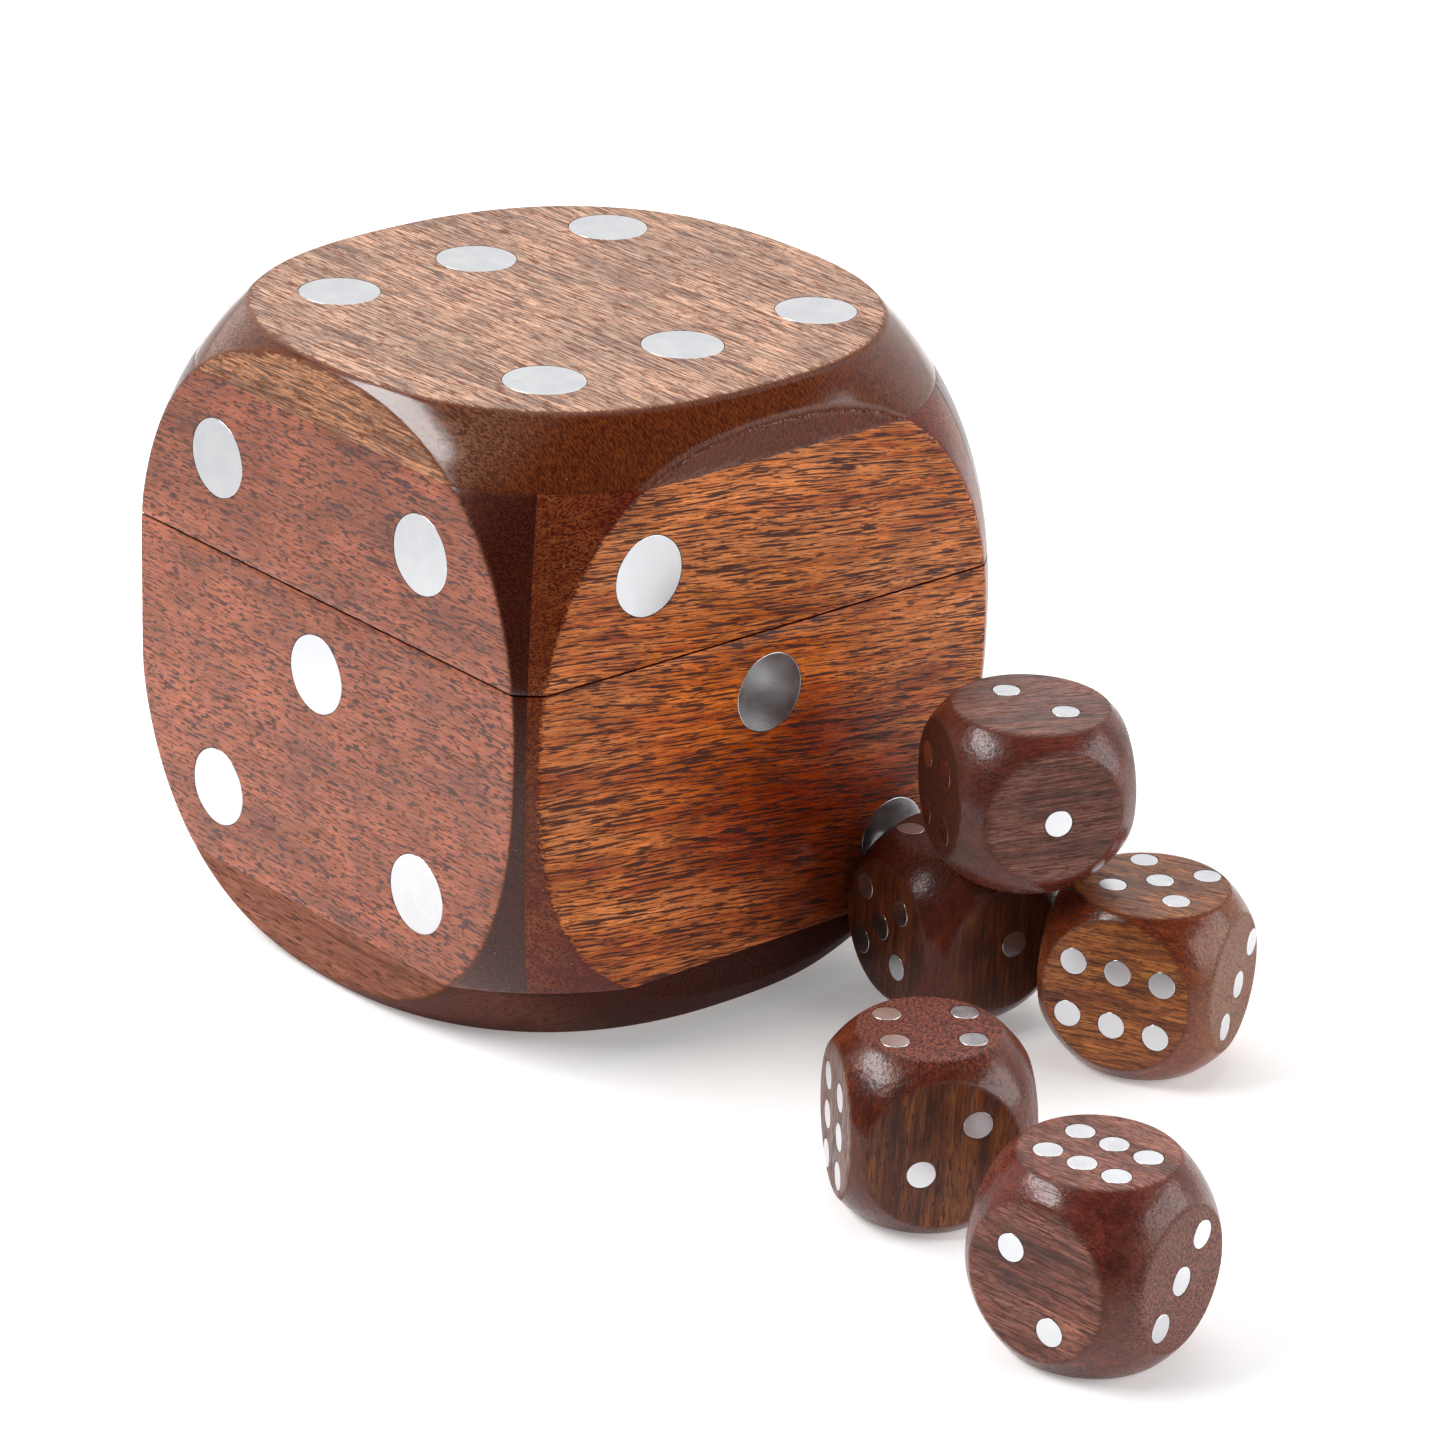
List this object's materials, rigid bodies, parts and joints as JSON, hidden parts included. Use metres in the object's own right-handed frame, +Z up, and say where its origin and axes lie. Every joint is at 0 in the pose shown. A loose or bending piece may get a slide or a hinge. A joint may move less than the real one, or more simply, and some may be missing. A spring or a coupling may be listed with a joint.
{
  "type": "dice box with dice",
  "caption": "Wooden box shaped like a big die, with a lift-off lid located by inner strips, aluminium inlaid pips, and the small wooden dice it stores set out beside it.",
  "frame": {"origin": "middle of the box's foot, on the table", "axes": "+Z up; the face that reads five is towards -Y and the face that reads three is towards +X; the small dice lie on the +X side"},
  "size_m": [0.1925, 0.0905, 0.0897],
  "materials": {
    "top_board_wood": "oiled and polished straight-grained rosewood, tan with dark streaks",
    "wall_wood": "oiled and polished rosewood, red-brown with dark flecks",
    "foot_board_wood": "oiled and polished rosewood, dark red-brown",
    "strip_wood": "plain sanded rosewood",
    "dice_wood": "lacquered rosewood with open pores",
    "aluminium_inlay": "sanded flush with the wood, satin"
  },
  "bodies": {
    "box_base": {"base_back_pips": "aluminium_inlay", "base_back_strip": "strip_wood", "base_back_wall": "wall_wood", "base_foot_board": "foot_board_wood", "base_foot_pip": "aluminium_inlay", "base_front_pips": "aluminium_inlay", "base_front_strip": "strip_wood", "base_front_wall": "wall_wood", "base_left_pips": "aluminium_inlay", "base_left_strip": "strip_wood", "base_left_wall": "wall_wood", "base_right_pips": "aluminium_inlay", "base_right_strip": "strip_wood", "base_right_wall": "wall_wood"},
    "box_lid": {"lid_back_pips": "aluminium_inlay", "lid_back_wall": "wall_wood", "lid_front_pips": "aluminium_inlay", "lid_front_wall": "wall_wood", "lid_left_pips": "aluminium_inlay", "lid_left_wall": "wall_wood", "lid_right_pips": "aluminium_inlay", "lid_right_wall": "wall_wood", "lid_top_board": "top_board_wood", "lid_top_pips": "aluminium_inlay"},
    "stacked_die": {"stacked_die_block": "dice_wood", "stacked_die_pips": "aluminium_inlay"},
    "rear_die": {"rear_die_block": "dice_wood", "rear_die_pips": "aluminium_inlay"},
    "right_die": {"right_die_block": "dice_wood", "right_die_pips": "aluminium_inlay"},
    "left_die": {"left_die_block": "dice_wood", "left_die_pips": "aluminium_inlay"},
    "front_die": {"front_die_block": "dice_wood", "front_die_pips": "aluminium_inlay"}
  },
  "joints": [
    {"name": "lid_lift", "type": "slide", "parent": "box_base", "child": "box_lid", "axis": [0, 0, 1], "range_m": [0, 0.08]},
    {"name": "stacked_die_lift", "type": "slide", "parent": "box_base", "child": "stacked_die", "axis": [0, 0, 1], "range_m": [0, 0.06]},
    {"name": "rear_die_slide", "type": "slide", "parent": "box_base", "child": "rear_die", "axis": [0, -1, 0], "range_m": [0, 0.06]},
    {"name": "right_die_slide", "type": "slide", "parent": "box_base", "child": "right_die", "axis": [0.9128, 0.4083, 0], "range_m": [0, 0.06]},
    {"name": "left_die_lift", "type": "slide", "parent": "box_base", "child": "left_die", "axis": [0, 0, 1], "range_m": [0, 0.06]},
    {"name": "front_die_lift", "type": "slide", "parent": "box_base", "child": "front_die", "axis": [0, 0, 1], "range_m": [0, 0.06]}
  ]
}
